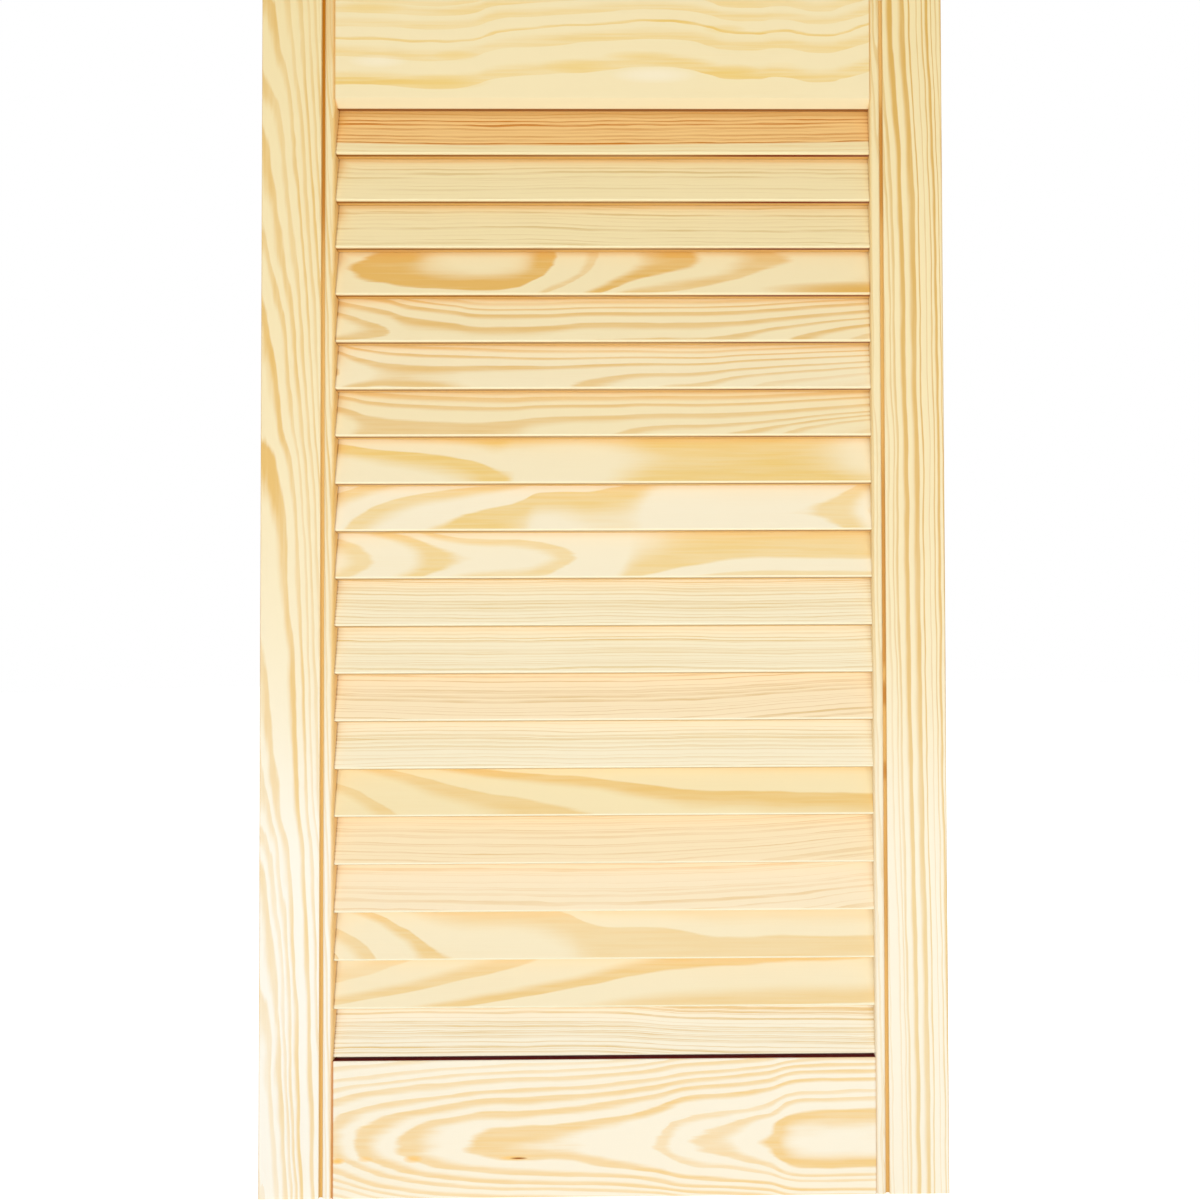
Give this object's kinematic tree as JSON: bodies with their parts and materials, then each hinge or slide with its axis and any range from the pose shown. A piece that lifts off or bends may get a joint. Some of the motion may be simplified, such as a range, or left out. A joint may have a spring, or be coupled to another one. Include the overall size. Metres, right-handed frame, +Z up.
{
  "type": "louvred door",
  "caption": "Small closed-louvre door leaf in bare pine: stiles with a quirk and bead, a top and a bottom rail, and fixed overlapping slats housed in the stiles.",
  "frame": {"origin": "on the flat outer edge of the left stile (the hinge edge), at mid height and mid thickness", "axes": "+X across the door from the hinge edge, +Y out of the back, -Y out of the moulded front, +Z up"},
  "size_m": [0.394, 0.021, 0.69],
  "materials": {
    "stile_pine": "bare planed pine",
    "rail_pine": "bare planed pine",
    "slat_pine": "bare planed pine"
  },
  "bodies": {
    "root": {"left_stile": "stile_pine", "right_stile": "stile_pine", "top_rail": "rail_pine", "bottom_rail": "rail_pine", "slat_01": "slat_pine", "slat_02": "slat_pine", "slat_03": "slat_pine", "slat_04": "slat_pine", "slat_05": "slat_pine", "slat_06": "slat_pine", "slat_07": "slat_pine", "slat_08": "slat_pine", "slat_09": "slat_pine", "slat_10": "slat_pine", "slat_11": "slat_pine", "slat_12": "slat_pine", "slat_13": "slat_pine", "slat_14": "slat_pine", "slat_15": "slat_pine", "slat_16": "slat_pine", "slat_17": "slat_pine", "slat_18": "slat_pine", "slat_19": "slat_pine", "slat_20": "slat_pine"}
  },
  "joints": []
}
